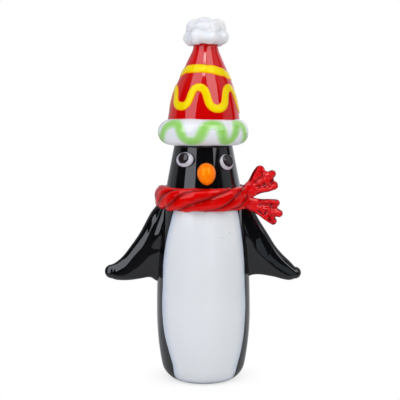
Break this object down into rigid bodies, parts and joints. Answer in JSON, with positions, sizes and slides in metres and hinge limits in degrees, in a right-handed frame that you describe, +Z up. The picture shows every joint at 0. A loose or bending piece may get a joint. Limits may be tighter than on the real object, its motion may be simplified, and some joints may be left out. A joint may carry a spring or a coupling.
{
  "type": "penguin figurine",
  "caption": "Free-standing hot-worked glass penguin with a white belly, drawn-out wings, a twisted scarf and a trailed hat with a rolled brim and pompom.",
  "frame": {"origin": "centre of the flat foot, on the plane that the figurine stands on", "axes": "+Z up along the body's axis; the face and belly look along -Y; +X is the penguin's own left, where the scarf's ends are"},
  "size_m": [0.0692, 0.034, 0.1262],
  "materials": {
    "body": "gloss",
    "belly": "gloss",
    "scarf": "gloss",
    "scarf_end": "gloss",
    "eye_white": "gloss",
    "beak": "gloss",
    "hat": "gloss",
    "hat_trail": "gloss",
    "trim": "gloss",
    "brim_trail": "gloss"
  },
  "bodies": {
    "root": {"body_shell": "body", "belly_patch": "belly", "wing_left": "body", "wing_right": "body", "scarf_wrap": "scarf", "scarf_tail_upper": "scarf_end", "scarf_tail_lower": "scarf_end", "eye_white_left": "eye_white", "eye_white_right": "eye_white", "pupil_left": "body", "pupil_right": "body", "beak": "beak", "hat_cone": "hat", "hat_band": "hat_trail", "hat_wave": "hat_trail", "hat_brim": "trim", "brim_wave": "brim_trail", "pompom": "trim"}
  },
  "joints": []
}
